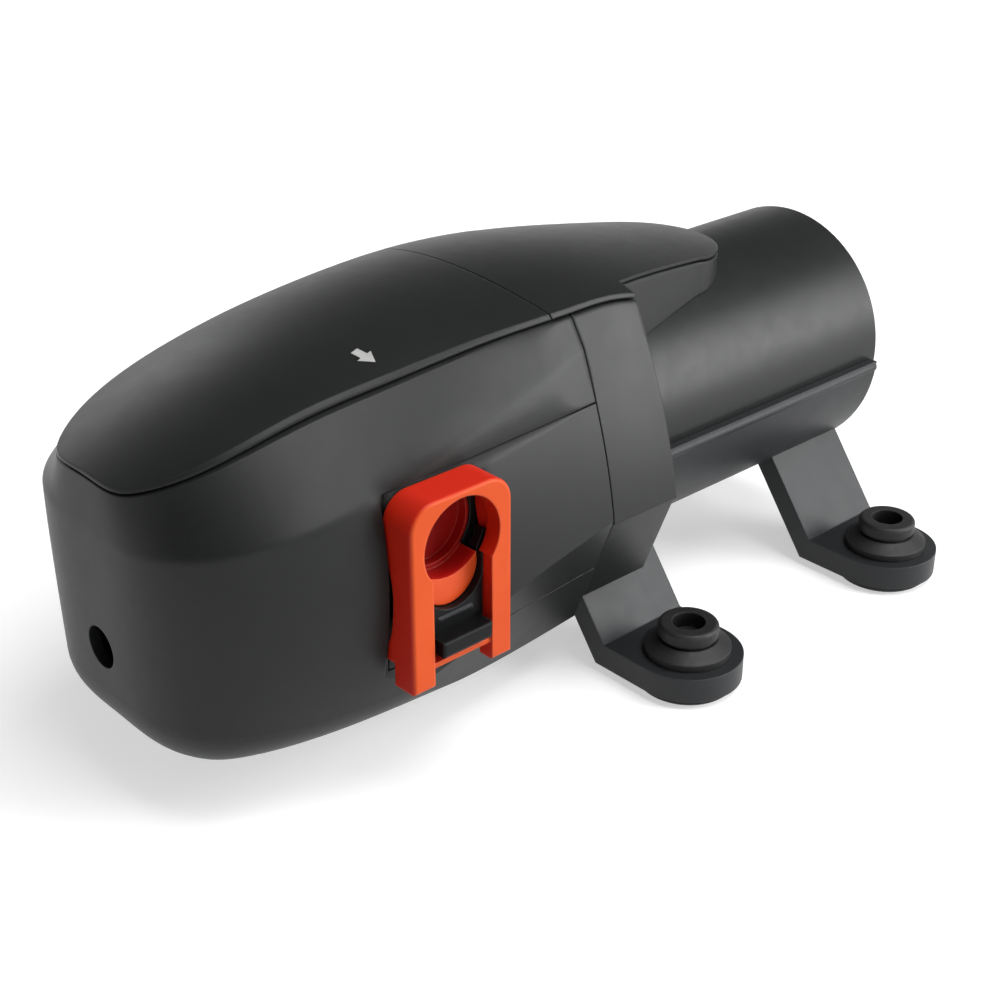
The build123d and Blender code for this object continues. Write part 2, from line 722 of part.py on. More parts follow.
    screws = []
    for x, z in holes:
        hole = y_cylinder(head_screw_radius + seat_gap, head_front_y - overrun,
                          diaphragm_rear_y + overrun, x, z)
        sheet -= hole
        plate -= hole
        head -= hole
        screw = y_cylinder(head_screw_radius, head_front_y, shank_y, x, z)
        top = y_cylinder(head_screw_head_radius, head_front_y - head_screw_head_height, head_front_y, x, z)
        screws.append((screw + top).solid())
    write("diaphragm", sheet)
    write("valve_plate", plate)
    write("pump_head", head)
    write("valve_discs", Compound(children=valves))
    write("head_screws", Compound(children=screws))


def pressure_switch():
    """The switch that stops the motor when the outlet closes."""
    base_y = head_front_y - drive_wall
    cap_y = base_y - switch_length
    body = y_cylinder(switch_radius, cap_y, base_y, 0, switch_z)
    body -= y_cylinder(switch_radius - switch_wall, cap_y + switch_wall, base_y + overrun, 0, switch_z)
    body -= y_cylinder(screw_radius + shaft_gap, cap_y - overrun, cap_y + switch_wall + overrun, 0, switch_z)
    write("switch_body", body)

    seat_y = cap_y + screw_shank_length
    screw = y_cylinder(screw_radius, cap_y - seat_gap, seat_y, 0, switch_z)
    screw += y_cylinder(screw_head_radius, cap_y - seat_gap - screw_head_length,
                        cap_y - seat_gap, 0, switch_z)
    half_slot = screw_slot_width / 2
    head_y = cap_y - seat_gap - screw_head_length
    screw -= block(-screw_head_radius, screw_head_radius, head_y - overrun, head_y + screw_slot_depth,
                   switch_z - half_slot, switch_z + half_slot)
    screw -= block(-half_slot, half_slot, head_y - overrun, head_y + screw_slot_depth,
                   switch_z - screw_head_radius, switch_z + screw_head_radius)
    write("adjusting_screw", screw)

    spring_y = seat_y + joint_gap
    coil = y_cylinder(spring_radius, spring_y, spring_y + spring_length, 0, switch_z)
    coil -= y_cylinder(spring_radius - spring_wall, spring_y - overrun,
                       spring_y + spring_length + overrun, 0, switch_z)
    write("switch_spring", coil)

    plunger_y = spring_y + spring_length + plunger_travel + joint_gap
    plunger = y_cylinder(plunger_radius, plunger_y, head_front_y + drive_wall - joint_gap, 0, switch_z)
    write("switch_plunger", plunger)

    micro_z = switch_z + switch_radius + joint_gap
    micro = block(-microswitch_width / 2, microswitch_width / 2, head_front_y - microswitch_depth - seat_gap,
                  head_front_y - seat_gap, micro_z, micro_z + microswitch_height)
    write("microswitch", micro)


def clip():
    """The slide that locks a fitting in its port, and what it holds."""
    width = clip_width / 2
    roof = clip_high_z - clip_corner_radius
    frame = Polyline((port_y - width, roof), (port_y - width, clip_low_z), (port_y + width, clip_low_z),
                     (port_y + width, roof))
    low_left = (port_y - width, roof)
    top = [
        RadiusArc(low_left, (port_y - width + clip_corner_radius, clip_high_z), clip_corner_radius),
        Line((port_y - width + clip_corner_radius, clip_high_z),
             (port_y + width - clip_corner_radius, clip_high_z)),
        RadiusArc((port_y + width - clip_corner_radius, clip_high_z),
                  (port_y + width, roof), clip_corner_radius),
    ]
    face = make_face([*frame.edges(), *top])
    hollow = offset(face, -clip_wall)
    low_block = Pos(port_y, clip_low_z) * Rectangle(clip_width - 2 * clip_wall, 4 * clip_wall)
    rim = face - hollow - low_block
    slot_height = clip_hole_z - clip_low_z + overrun
    slot = Pos(port_y, clip_hole_z - slot_height / 2) * Rectangle(2 * clip_slot_half_width, slot_height)
    keyhole = Pos(port_y, clip_hole_z) * Circle(clip_hole_radius) + slot
    plate = along_x(face, clip_plate_x, clip_front_x)
    plate = fillet(plate.faces().sort_by(Axis.X)[-1].edges(), clip_edge_round)
    plate -= along_x(keyhole, clip_plate_x - overrun, clip_front_x + overrun)
    back_x = clip_front_x - clip_roof_depth
    walls = along_x(rim - keyhole, back_x, clip_plate_x)
    waist_x = clip_front_x - clip_depth
    curve = Spline(
        (back_x, clip_shoulder_z), (waist_x, clip_waist_z), (waist_x, clip_grip_high_z + clip_grip_blend),
        (back_x, clip_grip_high_z), tangents=[(0, -1), (-1, -1)],
    )
    side = Polyline(
        (back_x, clip_grip_high_z), (back_x, clip_grip_low_z), (waist_x, clip_grip_low_z),
        (waist_x, clip_low_z), (clip_front_x, clip_low_z), (clip_front_x, clip_high_z),
        (back_x, clip_high_z), (back_x, clip_shoulder_z),
    )
    walls &= along_y(make_face([curve, *side.edges()]), clip_low_y - overrun, clip_high_y + overrun)
    web = block(clip_plate_x, clip_front_x - clip_web_setback, port_y - clip_slot_half_width - overrun,
                port_y + clip_slot_half_width + overrun, clip_web_z, clip_web_z + clip_web_thickness)
    body = plate + walls + web
    write("port_clip_right", body)
    write("port_clip_left", left_of(body))


def latch():
    """The sprung cradle plate with its finger ledge."""
    height = latch_horn_z - latch_low_z
    neck = plug_neck_radius + running_gap
    face = Pos(port_y, latch_low_z + height / 2) * Rectangle(2 * latch_half_width, height)
    face -= Pos(port_y, port_z) * Circle(neck)
    face -= Pos(port_y, port_z + height / 2) * Rectangle(2 * neck, height)
    face -= Pos(port_y, plug_cup_z) * Circle(plug_disc_radius + running_gap)
    plate = along_x(face, latch_face_x - latch_plate, latch_face_x)
    ledge = block(latch_face_x - latch_plate, ledge_front_x,
                  port_y - ledge_half_width, port_y + ledge_half_width,
                  ledge_low_z, ledge_high_z)
    ledge = fillet(ledge.faces().sort_by(Axis.X)[-1].edges(), ledge_round)
    ridge = block(latch_face_x - latch_plate, latch_face_x + latch_ridge_depth,
                  port_y - latch_ridge_half_width,
                  port_y + latch_ridge_half_width, latch_ridge_z, latch_ridge_z + latch_ridge_height)
    stem = block(latch_face_x - latch_plate - latch_stem_length, latch_face_x, port_y - latch_stem_half_width,
                 port_y + latch_stem_half_width, latch_stem_low_z, latch_stem_high_z)
    body = plate + ledge + ridge + stem
    write("port_latch_right", body)
    write("port_latch_left", left_of(body))


def plug():
    """The transport plug in a port, with its ring."""
    disc_from = plug_disc_x - plug_disc_thickness
    neck = x_cylinder(plug_neck_radius, plug_stem_end_x, plug_face_x)
    neck -= x_cylinder(clip_hole_radius, plug_disc_x, everywhere, port_y, plug_cup_z)
    disc = x_cylinder(plug_disc_radius, disc_from, plug_disc_x, port_y, plug_cup_z)
    dish = x_cylinder(plug_disc_radius - plug_dish_wall, plug_disc_x - plug_dish_depth,
                      everywhere, port_y, plug_cup_z)
    disc -= dish
    neck -= dish
    ring_radius = port_bore_radius - joint_gap - ring_section_radius
    groove = x_cylinder(port_bore_radius, plug_ring_x - ring_section_radius - seat_gap,
                        plug_ring_x + ring_section_radius + seat_gap)
    groove -= x_cylinder(ring_radius - ring_section_radius - shaft_gap, 0, everywhere)
    body = neck + disc - groove
    write("port_plug_right", body)
    write("port_plug_left", left_of(body))
    place = Plane(origin=(plug_ring_x, port_y, port_z), z_dir=(1, 0, 0))
    ring = place * Torus(ring_radius, ring_section_radius)
    write("plug_ring_right", ring)
    write("plug_ring_left", left_of(ring))


def cradle():
    """The half pipe under the motor, with its four legs and pads in one moulding."""
    top_z = motor_axis_height - cradle_drop
    pipe = y_cylinder(cradle_outer_radius, cradle_front_y, cradle_rear_y)
    pipe &= block(-everywhere, everywhere, cradle_front_y, cradle_rear_y, 0, top_z)
    bead_z = top_z - cradle_bead_drop
    bead_x = sqrt(cradle_outer_radius ** 2 - (motor_axis_height - bead_z) ** 2) - cradle_bead_radius / 2
    bead = y_cylinder(cradle_bead_radius, cradle_front_y, cradle_rear_y, bead_x, bead_z)
    bead = fillet(bead.edges().filter_by(GeomType.CIRCLE).sort_by(Axis.Y)[-1], cradle_bead_radius / 2)
    body = pipe + bead + left_of(bead)
    half_x = foot_spacing_x / 2
    fold_low_x = leg_fold_x - leg_thickness / leg_rise * sqrt(leg_run ** 2 + leg_rise ** 2)
    fold_low_x += (pad_high_z - pad_low_z) * leg_run / leg_rise
    climb = motor_axis_height / 2
    leg = polygon(
        (half_x, pad_low_z),
        (fold_low_x, pad_low_z),
        (fold_low_x - climb * leg_run / leg_rise, pad_low_z + climb),
        (leg_fold_x - climb * leg_run / leg_rise, pad_high_z + climb),
        (leg_fold_x, pad_high_z),
        (half_x, pad_high_z),
    )
    for y in (-foot_spacing_y / 2, foot_spacing_y / 2):
        strap = along_y(leg, y - pad_radius, y + pad_radius)
        pad = Pos(half_x, y, pad_low_z) * extrude(Circle(pad_radius), pad_high_z - pad_low_z)
        hole = Pos(half_x, y, 0) * extrude(Circle(pad_hole_radius), motor_axis_height)
        foot = strap + pad - hole
        body += foot + left_of(foot)
    body -= y_cylinder(cradle_inner_radius, cradle_front_y - everywhere, everywhere)
    write("motor_cradle", body)


def grommets():
    """The four rubber feet in the pads, each round one screw."""
    pad_top = pad_high_z + shaft_gap
    cone_z = pad_top + grommet_flange_height
    ring_low = grommet_top_z - grommet_ring_height
    groove_low = ring_low - grommet_groove_height
    round_in = grommet_ring_radius - grommet_ring_round
    slope = grommet_ring_round * sqrt(0.5)
    middle = (round_in + slope, grommet_top_z - grommet_ring_round + slope)
    mouth_z = grommet_top_z - grommet_mouth_depth
    outline_low = Polyline(
        (grommet_bore_radius, 0), (grommet_foot_radius - grommet_foot_round, 0),
        (grommet_foot_radius, grommet_foot_round), (grommet_foot_radius, pad_low_z - shaft_gap),
        (grommet_neck_radius, pad_low_z - shaft_gap), (grommet_neck_radius, pad_top),
        (grommet_flange_radius, pad_top), (grommet_flange_radius, cone_z),
        (grommet_ring_radius, groove_low), (grommet_groove_radius, groove_low),
        (grommet_groove_radius, ring_low), (grommet_ring_radius, ring_low),
        (grommet_ring_radius, grommet_top_z - grommet_ring_round),
    )
    shoulder = ThreePointArc(
        (grommet_ring_radius, grommet_top_z - grommet_ring_round), middle, (round_in, grommet_top_z)
    )
    outline_in = Polyline(
        (round_in, grommet_top_z), (grommet_mouth_radius, grommet_top_z), (grommet_mouth_radius, mouth_z),
        (grommet_bore_radius, mouth_z), (grommet_bore_radius, 0),
    )
    face = Plane.XZ * make_face([*outline_low.edges(), shoulder, *outline_in.edges()])
    foot = revolve(face, Axis.Z)
    feet = []
    for x in (-foot_spacing_x / 2, foot_spacing_x / 2):
        for y in (-foot_spacing_y / 2, foot_spacing_y / 2):
            feet.append((Pos(x, y, 0) * foot).solid())
    write("foot_grommets", Compound(children=feet))


housing()
motor()
drive()
pressure_switch()
clip()
latch()
plug()
cradle()
grommets()
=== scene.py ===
from math import asin, cos, radians, sin

import bmesh
import bpy
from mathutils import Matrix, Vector
from mathutils.bvhtree import BVHTree


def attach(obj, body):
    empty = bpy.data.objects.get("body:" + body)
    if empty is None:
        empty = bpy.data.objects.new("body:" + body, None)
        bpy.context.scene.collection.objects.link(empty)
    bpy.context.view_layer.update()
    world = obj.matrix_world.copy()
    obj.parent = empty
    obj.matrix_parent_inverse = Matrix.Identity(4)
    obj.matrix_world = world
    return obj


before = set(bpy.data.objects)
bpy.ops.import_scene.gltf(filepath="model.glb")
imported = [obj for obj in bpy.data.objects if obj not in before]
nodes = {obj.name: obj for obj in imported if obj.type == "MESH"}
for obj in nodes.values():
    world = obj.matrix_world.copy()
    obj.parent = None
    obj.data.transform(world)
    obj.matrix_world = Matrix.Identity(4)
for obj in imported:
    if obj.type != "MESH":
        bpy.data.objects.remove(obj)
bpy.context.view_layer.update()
scene = bpy.context.scene

# All lengths are metres
MM = 0.001

# Camera
CAMERA_PLACE = (0.269954, -0.29451, 0.221295)
CAMERA_TOWARD = (-0.6568, 0.5960, -0.4620)
CAMERA_LENS = 61.2
SENSOR_WIDTH = 36.0
CLIP_START = 0.01
CLIP_END = 50.0

# The crease along the housing's side, softened more behind the clip
CREASE_NOSE_Y = -158.6 * MM
CREASE_NOSE_Z = 63.4 * MM
CREASE_RISE = 0.183
CREASE_FRONT_Y = -122.0 * MM
CREASE_REAR_Y = -108.0 * MM
CREASE_FRONT_ROUND = 2.5 * MM
CREASE_REAR_ROUND = 9.0 * MM
CREASE_BAND = (5.0 * MM, 11.0 * MM)
COLLAR_Y = (-68.0 * MM, -60.0 * MM)
COLLAR_ROUND_SHARE = 0.15

# How far out, along X, the painted shade deep in a plug's hollow turns to the colour of its face
PLUG_SHADE_DEPTHS = (43.2 * MM, 44.3 * MM)

# Levels of the noise between which patches, scuffs and specks change over
PATCH_RANGE = (0.3, 0.7)
SCUFF_RANGE = (0.25, 0.75)
SPECK_RANGE = (0.68, 0.8)

# How far a surface faces sideways, where its colour changes over to or from the painted shade tone, and
# how far a soft edge bends it, where its colour changes over to the painted edge highlight with wear
SHADE_FACING_RANGE = (0.35, 0.9)
BEND_RANGE = (0.985, 0.80)

# How strong a speck is, and how strong the painted edge highlight with wear is between and on the grain
SPECK_SHARE = 0.7
HIGHLIGHT_WEAR_GRAIN_SHARES = (0.4, 1.0)

# Noise: detail and roughness
PATCH_NOISE = (4.0, 0.6)
GRAIN_NOISE = (2.0, 0.6)
SPECK_NOISE = (1.0, 0.5)
SCUFF_NOISE = (5.0, 0.65)
WAVE_NOISE = (1.0, 0.4)
FLOOR_NOISE = (2.0, 0.5)

# How many times coarser specks are than the grain, and finer scuffs than the patches
SPECK_COARSER = 3
SCUFF_FINER = 6

# Places of the colour sockets in a mix node, whose names repeat
MIX_LOW = 6
MIX_HIGH = 7
MIX_RESULT = 2

# Samples of a soft edge
EDGE_SAMPLES = 4
CREASE_SAMPLES = 6

# Softboxes: name, place, width, height, watts
SOFTBOXES = (
    ("key_light", (0.92, 0.80, 0.50), 0.62, 0.86, 19.0),
    ("top_light", (0.42, 0.12, 1.25), 0.80, 0.75, 14.0),
    ("fill_light", (1.10, -0.55, 0.35), 0.7, 0.4, 1.5),
    ("left_light", (-1.25, 0.05, 0.62), 0.7, 0.4, 3.0),
)
LIGHT_TARGET = (0.0, -0.05, 0.05)

# Backdrop, by how high a ray climbs, and the level of light from the sky
SKY_LEVEL = 0.20
BACKDROP_FULL = 0.16
BACKDROP_END = 0.34

# Floor: its glow grows with the distance from the object
FLOOR_REACH = 12.0
FLOOR_NEAR = 0.30
FLOOR_FAR = 1.20
FLOOR_NEAR_GLOW = 0.50
FLOOR_FAR_GLOW = 1.00
FLOOR_WHITE = 0.62
FLOOR_WHITE_SPREAD = 0.01
FLOOR_PATCHES = 8.0
FLOOR_ROUGHNESS = 0.9
FLOOR_SPECULAR = 0.1

# Flow arrow, printed on the front lid
ARROW_PLACE = (16.2 * MM, -103.8 * MM)
ARROW_TURN = radians(12)
ARROW_LENGTH = 5.6 * MM
ARROW_HEAD = 3.0 * MM
ARROW_HALF_HEAD = 2.1 * MM
ARROW_HALF_SHAFT = 1.0 * MM
ARROW_LIFT = 0.04 * MM
ARROW_CUTS = 12
ABOVE_LID = 200 * MM

# Front of each latch: the cradle arc between the clip's legs, with a rib across it
PORT_Y = -103.8 * MM
PORT_Z = 51.6 * MM
LATCH_REAR = 44.1 * MM
LATCH_FRONT = 46.4 * MM
LATCH_HALF_WIDTH = 7.4 * MM
LATCH_LOW = 38.6 * MM
LATCH_ARC = 7.65 * MM
LATCH_ARC_CELLS = 28
HORN_INNER = 7.46 * MM
HORN_OUTER = 7.62 * MM
HORN_LOW = 48.0 * MM
HORN_HIGH = 53.6 * MM
HORN_REAR = 44.95 * MM
HORN_FRONT = 46.3375 * MM
RIB_HALF_WIDTH = 4.6 * MM
RIB_Z = 42.6 * MM
RIB_HALF_HEIGHT = 0.5 * MM
RIB_STANDS = 0.45 * MM
LATCH_SOFT_EDGE = 0.25 * MM
LATCH_EDGE_STEPS = 2


def linear(red, green, blue):
    """A colour as it is seen, 0 to 255, turned to scene values by the usual display curve."""
    def one(value):
        share = value / 255
        return share / 12.92 if share <= 0.04045 else ((share + 0.055) / 1.055) ** 2.4
    return (one(red), one(green), one(blue), 1.0)


def connect(tree, socket, value):
    """A socket linked to another socket, or set to a plain value."""
    if isinstance(value, bpy.types.NodeSocket):
        tree.links.new(value, socket)
    else:
        socket.default_value = value


def add(tree, kind, inputs=None, **settings):
    """A shader node with its settings, and its inputs set or linked."""
    made = tree.nodes.new(kind)
    for name, value in settings.items():
        setattr(made, name, value)
    for name, value in (inputs or {}).items():
        connect(tree, made.inputs[name], value)
    return made


def calculate(tree, operation, *values):
    """The result of one sum on numbers."""
    made = add(tree, "ShaderNodeMath", dict(enumerate(values)), operation=operation)
    return made.outputs["Value"]


def axis_of(tree, direction, axis):
    """One axis of a direction or place."""
    return add(tree, "ShaderNodeSeparateXYZ", {0: direction}).outputs[axis]


def noise(tree, place, scale, detail, rough):
    """Noise of a number of cells per metre."""
    inputs = {"Vector": place, "Scale": scale, "Detail": detail, "Roughness": rough}
    return add(tree, "ShaderNodeTexNoise", inputs).outputs["Fac"]


def remap(tree, value, low, high, to_low, to_high):
    """A value carried from one range to another."""
    inputs = {"Value": value, "From Min": low, "From Max": high, "To Min": to_low, "To Max": to_high}
    return add(tree, "ShaderNodeMapRange", inputs).outputs["Result"]


def blend_colour(tree, share, low, high):
    """A mix of two colours."""
    mix = add(tree, "ShaderNodeMix", data_type="RGBA", clamp_factor=True)
    tree.links.new(share, mix.inputs["Factor"])
    connect(tree, mix.inputs[MIX_LOW], low)
    connect(tree, mix.inputs[MIX_HIGH], high)
    return mix.outputs[MIX_RESULT]


def bump(tree, height, depth, normal):
    """A surface direction that follows a relief of a given depth."""
    inputs = {"Height": height, "Distance": depth, "Normal": normal}
    return add(tree, "ShaderNodeBump", inputs).outputs["Normal"]


def seen_directly(tree):
    """1 for what the camera, a reflection or a clear surface sees, 0 for what only gives light."""
    path = add(tree, "ShaderNodeLightPath").outputs
    seen = calculate(tree, "MAXIMUM", path["Is Camera Ray"], path["Is Glossy Ray"])
    return calculate(tree, "MAXIMUM", seen, path["Is Transmission Ray"])


def crease_round(tree, place, edge_round):
    """An edge radius that grows beside the crease along the housing's side."""
    along = axis_of(tree, place, "Y")
    line = calculate(tree, "MULTIPLY_ADD", along, CREASE_RISE, CREASE_NOSE_Z - CREASE_NOSE_Y * CREASE_RISE)
    off = calculate(tree, "ABSOLUTE", calculate(tree, "SUBTRACT", axis_of(tree, place, "Z"), line))
    widest = remap(tree, along, CREASE_FRONT_Y, CREASE_REAR_Y, CREASE_FRONT_ROUND, CREASE_REAR_ROUND)
    widest = calculate(tree, "MULTIPLY", widest, remap(tree, along, *COLLAR_Y, 1.0, COLLAR_ROUND_SHARE))
    return remap(tree, off, *CREASE_BAND, widest, edge_round)


def soft_edges(tree, place, edge_round, crease):
    """The surface direction with its edges rounded off."""
    if crease:
        edge_round = crease_round(tree, place, edge_round)
    samples = CREASE_SAMPLES if crease else EDGE_SAMPLES
    return add(tree, "ShaderNodeBevel", {"Radius": edge_round}, samples=samples).outputs["Normal"]


def highlight_wear_edges(tree, soft, fine, colour, highlight_wear_tone, highlight_wear_share):
    """A colour that turns to its edge tone where the surface bends, broken up by the grain: a painted
    highlight that also stands for wear.
    """
    flat = add(tree, "ShaderNodeNewGeometry").outputs["Normal"]
    bend = add(tree, "ShaderNodeVectorMath", {0: soft, 1: flat}, operation="DOT_PRODUCT").outputs["Value"]
    edge = remap(tree, bend, *BEND_RANGE, 0.0, highlight_wear_share)
    broken = calculate(tree, "MULTIPLY", edge, remap(tree, fine, *PATCH_RANGE, *HIGHLIGHT_WEAR_GRAIN_SHARES))
    return blend_colour(tree, broken, colour, highlight_wear_tone)


def material(name, dark, light, roughness, spread=0.06, patches=35.0, grain=2600.0,
             grain_depth=0.012 * MM, wave=0.0, wave_depth=0.0, edge_round=0.4 * MM, highlight_wear_tone=None,
             highlight_wear_share=0.0, speck=None, stretch=(1, 1, 1), crease=False, painted_shade_tone=None, painted_hollow_shade=None,
             **shader_values):
    """A surface with colour patches, grain, scuffs, soft edges, and a painted highlight with wear on its
    edges.

    painted_shade_tone is a painted shade for faces that don't look sideways, painted_hollow_shade a
    painted shade far inside a plug. speck dots the surface, wave lays a slow swell under the grain, and
    crease widens the soft edge at the crease along the housing's side.
    """
    made = bpy.data.materials.new(name)
    made.use_nodes = True
    tree = made.node_tree
    shader = tree.nodes["Principled BSDF"]
    for key, value in shader_values.items():
        shader.inputs[key.replace("_", " ")].default_value = value
    place = add(tree, "ShaderNodeTexCoord").outputs["Object"]
    stretched = add(tree, "ShaderNodeMapping", {"Vector": place, "Scale": stretch}).outputs["Vector"]

    # Colour: patches, then the painted shade on faces that don't look sideways and deep in a plug's
    # hollow, specks, and the painted highlight with wear on edges
    patch = noise(tree, place, patches, *PATCH_NOISE)
    fine = noise(tree, stretched, grain, *GRAIN_NOISE)
    colour = blend_colour(tree, remap(tree, patch, *PATCH_RANGE, 0.0, 1.0), dark, light)
    # Painted shade: faces that don't look sideways take a darker, redder tone
    if painted_shade_tone is not None:
        facing = add(tree, "ShaderNodeTexCoord").outputs["Normal"]
        across = calculate(tree, "ABSOLUTE", axis_of(tree, facing, "X"))
        colour = blend_colour(tree, remap(tree, across, *SHADE_FACING_RANGE, 0.0, 1.0), painted_shade_tone, colour)
    # Painted shade: the colour darkens deep inside the plug's hollow
    if painted_hollow_shade is not None:
        depth = calculate(tree, "ABSOLUTE", axis_of(tree, place, "X"))
        colour = blend_colour(tree, remap(tree, depth, *PLUG_SHADE_DEPTHS, 0.0, 1.0), painted_hollow_shade, colour)
    if speck is not None:
        dots = noise(tree, place, grain / SPECK_COARSER, *SPECK_NOISE)
        colour = blend_colour(tree, remap(tree, dots, *SPECK_RANGE, 0.0, SPECK_SHARE), colour, speck)
    normal = soft_edges(tree, place, edge_round, crease)
    # Painted highlight, also standing for wear: the colour lightens where a soft edge bends the surface
    if highlight_wear_tone is not None:
        colour = highlight_wear_edges(tree, normal, fine, colour, highlight_wear_tone, highlight_wear_share)
    tree.links.new(colour, shader.inputs["Base Color"])

    scuff = noise(tree, stretched, patches * SCUFF_FINER, *SCUFF_NOISE)
    scuff = remap(tree, scuff, *SCUFF_RANGE, roughness - spread, roughness + spread)
    tree.links.new(scuff, shader.inputs["Roughness"])

    # Relief: the swell where there is one, then the grain
    if wave:
        normal = bump(tree, noise(tree, stretched, wave, *WAVE_NOISE), wave_depth, normal)
    tree.links.new(bump(tree, fine, grain_depth, normal), shader.inputs["Normal"])
    return made


# Each material's edge tone is a painted highlight that also stands for wear
MATERIALS = {
    "housing": material("housing_plastic", linear(18, 19, 19), linear(22, 23, 23), 0.42, spread=0.025,
                        highlight_wear_tone=linear(60, 62, 62), highlight_wear_share=0.25, edge_round=0.4 * MM,
                        crease=True, Specular_IOR_Level=0.27),
    "lid": material("lid_plastic", linear(19, 20, 20), linear(23, 24, 24), 0.40, spread=0.025,
                    highlight_wear_tone=linear(62, 64, 64), highlight_wear_share=0.4, edge_round=0.5 * MM,
                    Specular_IOR_Level=0.22),
    "can": material("can_paint", linear(18, 19, 19), linear(24, 25, 25), 0.40, spread=0.04, grain=1500.0,
                    grain_depth=0.010 * MM, wave=420.0, wave_depth=0.02 * MM, highlight_wear_tone=linear(84, 86, 86),
                    highlight_wear_share=0.5, Specular_IOR_Level=0.26),
    "cradle": material("cradle_plastic", linear(26, 27, 29), linear(31, 33, 35), 0.48, spread=0.03,
                       highlight_wear_tone=linear(92, 95, 98), highlight_wear_share=0.4, edge_round=0.5 * MM,
                       Specular_IOR_Level=0.32),
    # Clip: a darker, redder painted shade on faces that don't look sideways
    "clip": material("clip_orange", linear(192, 68, 20), linear(200, 76, 26), 0.42, spread=0.03,
                     grain=2000.0, painted_shade_tone=linear(190, 34, 14), highlight_wear_tone=linear(244, 120, 80),
                     highlight_wear_share=0.6, edge_round=0.6 * MM, Specular_IOR_Level=0.20),
    # Plug: painted shade on faces that don't look sideways and deep in its hollow
    "plug": material("plug_orange", linear(196, 66, 20), linear(204, 74, 26), 0.42, spread=0.03,
                     grain=2000.0, painted_shade_tone=linear(176, 24, 14), painted_hollow_shade=linear(150, 14, 12),
                     highlight_wear_tone=linear(236, 100, 60), highlight_wear_share=0.5, Specular_IOR_Level=0.30),
    "latch": material("latch_black", linear(10, 11, 12), linear(15, 16, 17), 0.40, spread=0.03,
                      highlight_wear_tone=linear(84, 86, 90), highlight_wear_share=0.5, Specular_IOR_Level=0.12),
    "rubber": material("foot_rubber", linear(15, 15, 15), linear(21, 21, 21), 0.56, spread=0.10,
                       patches=90.0, grain=1700.0, grain_depth=0.02 * MM, speck=linear(44, 44, 44),
                       highlight_wear_tone=linear(48, 48, 49), highlight_wear_share=0.5, Specular_IOR_Level=0.40),
    "seal": material("seal_rubber", linear(14, 14, 15), linear(22, 22, 23), 0.42, grain=2200.0),
    "head": material("head_plastic", linear(30, 31, 32), linear(40, 41, 42), 0.5, highlight_wear_tone=linear(80, 82, 84),
                     highlight_wear_share=0.4),
    "steel": material("steel", linear(150, 152, 155), linear(178, 180, 182), 0.32, spread=0.08,
                      patches=60.0, grain=3200.0, stretch=(1, 0.1, 1), Metallic=1.0),
    "zinc": material("zinc_plate", linear(84, 86, 88), linear(104, 106, 108), 0.46, spread=0.05,
                     patches=70.0, grain=2600.0, grain_depth=0.02 * MM, highlight_wear_tone=linear(150, 152, 154),
                     highlight_wear_share=0.4, Metallic=1.0),
    "cam": material("cam_metal", linear(132, 134, 138), linear(160, 162, 165), 0.38, spread=0.08,
                    patches=80.0, grain=2400.0, Metallic=1.0),
    "rotor": material("rotor_iron", linear(96, 94, 92), linear(122, 119, 116), 0.46, spread=0.1,
                      patches=70.0, grain=3000.0, grain_depth=0.03 * MM, stretch=(0.15, 1, 0.15),
                      Metallic=1.0),
    "copper": material("copper", linear(176, 92, 52), linear(206, 122, 78), 0.34, spread=0.08,
                       patches=110.0, grain=2600.0, grain_depth=0.03 * MM, Metallic=1.0),
    "ferrite": material("ferrite", linear(44, 43, 44), linear(62, 61, 61), 0.68, spread=0.1,
                        patches=120.0, grain=2000.0, grain_depth=0.04 * MM, speck=linear(84, 84, 86)),
}

NODE_MATERIALS = {
    "housing": ("front_cover", "rear_housing", "side_panel_right", "side_panel_left"),
    "lid": ("front_lid", "rear_lid"),
    "can": ("motor_can",),
    "cradle": ("motor_cradle",),
    "clip": ("port_clip_right", "port_clip_left"),
    "plug": ("port_plug_right", "port_plug_left"),
    "latch": ("port_latch_right", "port_latch_left"),
    "rubber": ("foot_grommets",),
    "seal": ("plug_ring_right", "plug_ring_left", "diaphragm", "valve_discs"),
    "head": ("pump_head", "valve_plate", "drive_housing", "switch_body", "microswitch", "wobble_plate",
             "brush_card", "pistons", "switch_plunger"),
    "steel": ("head_screws", "motor_shaft", "bearing_inner_race", "bearing_outer_race", "bearing_balls",
              "shaft_bearings", "adjusting_screw", "switch_spring"),
    "zinc": ("motor_front_plate", "motor_end_cap"),
    "cam": ("eccentric_cam",),
    "rotor": ("armature",),
    "copper": ("armature_windings", "commutator"),
    "ferrite": ("motor_magnets", "brushes"),
}
for key, members in NODE_MATERIALS.items():
    for member in members:
        slots = nodes[member].data.materials
        slots.clear()
        slots.append(MATERIALS[key])


def surface_of(member):
    """What a ray meets on a CAD node."""
    mesh = nodes[member].data
    points = [vertex.co.copy() for vertex in mesh.vertices]
    return BVHTree.FromPolygons(points, [list(face.vertices) for face in mesh.polygons])


def show(name, shape, body, paint):
    """A new piece made of a worked-out shape, with its body and its finish."""
    data = bpy.data.meshes.new(name)
    shape.to_mesh(data)
    shape.free()
    piece = bpy.data.objects.new(name, data)
    scene.collection.objects.link(piece)
    piece.data.materials.append(paint)
    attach(piece, body)


